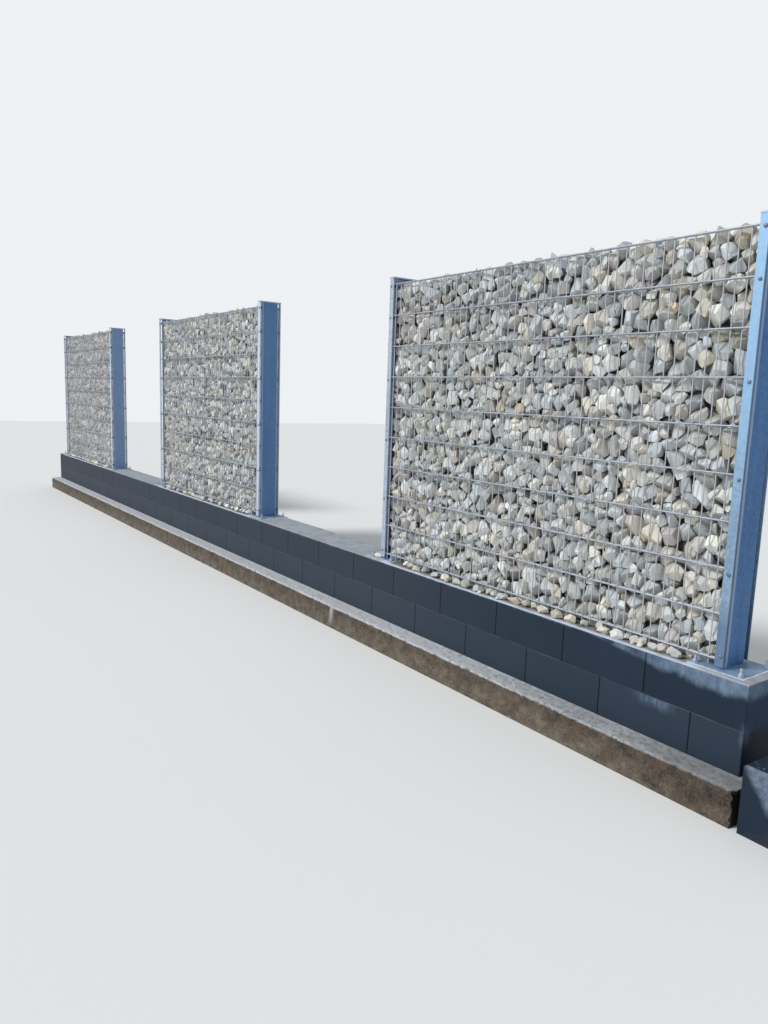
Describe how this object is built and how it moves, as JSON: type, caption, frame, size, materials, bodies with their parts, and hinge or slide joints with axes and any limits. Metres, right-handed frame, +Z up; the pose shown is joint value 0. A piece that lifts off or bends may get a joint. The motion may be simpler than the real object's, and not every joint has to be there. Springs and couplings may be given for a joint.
{
  "type": "gabion wall in bays",
  "caption": "Gabion wall in bays: crushed rock between welded wire mats clamped to steel channel posts, on a block plinth with a concrete kerb footing.",
  "frame": {"origin": "middle of the underside of the concrete footing, on the ground", "axes": "+X along the wall towards its right end as seen from the kerb side, +Y from the kerb to the back, +Z up"},
  "size_m": [12.382, 0.43, 2.456],
  "materials": {
    "old_concrete": "weathered concrete, pale on top and stained brown on its face",
    "slate_block": "matt dark grey concrete block",
    "mortar": "pale grey mortar, hand spread",
    "crushed_rock": "broken light grey and cream rock",
    "galvanised_wire": "hot-dip galvanised wire",
    "galvanised_steel": "hot-dip galvanised steel with faint spangle"
  },
  "bodies": {
    "root": {"far_back_mat": "galvanised_wire", "far_front_mat": "galvanised_wire", "far_left_back_strip": "galvanised_steel", "far_left_base_plate": "galvanised_steel", "far_left_front_strip": "galvanised_steel", "far_left_post": "galvanised_steel", "far_right_back_strip": "galvanised_steel", "far_right_base_plate": "galvanised_steel", "far_right_front_strip": "galvanised_steel", "far_right_post": "galvanised_steel", "far_spacers": "galvanised_wire", "far_stone_fill": "crushed_rock", "footing": "old_concrete", "low_end_block": "slate_block", "lower_course": "slate_block", "middle_back_mat": "galvanised_wire", "middle_front_mat": "galvanised_wire", "middle_left_back_strip": "galvanised_steel", "middle_left_base_plate": "galvanised_steel", "middle_left_front_strip": "galvanised_steel", "middle_left_post": "galvanised_steel", "middle_right_back_strip": "galvanised_steel", "middle_right_base_plate": "galvanised_steel", "middle_right_front_strip": "galvanised_steel", "middle_right_post": "galvanised_steel", "middle_spacers": "galvanised_wire", "middle_stone_fill": "crushed_rock", "mortar_bed": "mortar", "near_back_mat": "galvanised_wire", "near_front_mat": "galvanised_wire", "near_left_back_strip": "galvanised_steel", "near_left_base_plate": "galvanised_steel", "near_left_front_strip": "galvanised_steel", "near_left_post": "galvanised_steel", "near_right_back_strip": "galvanised_steel", "near_right_base_plate": "galvanised_steel", "near_right_front_strip": "galvanised_steel", "near_right_post": "galvanised_steel", "near_spacers": "galvanised_wire", "near_stone_fill": "crushed_rock", "upper_course": "slate_block"}
  },
  "joints": []
}
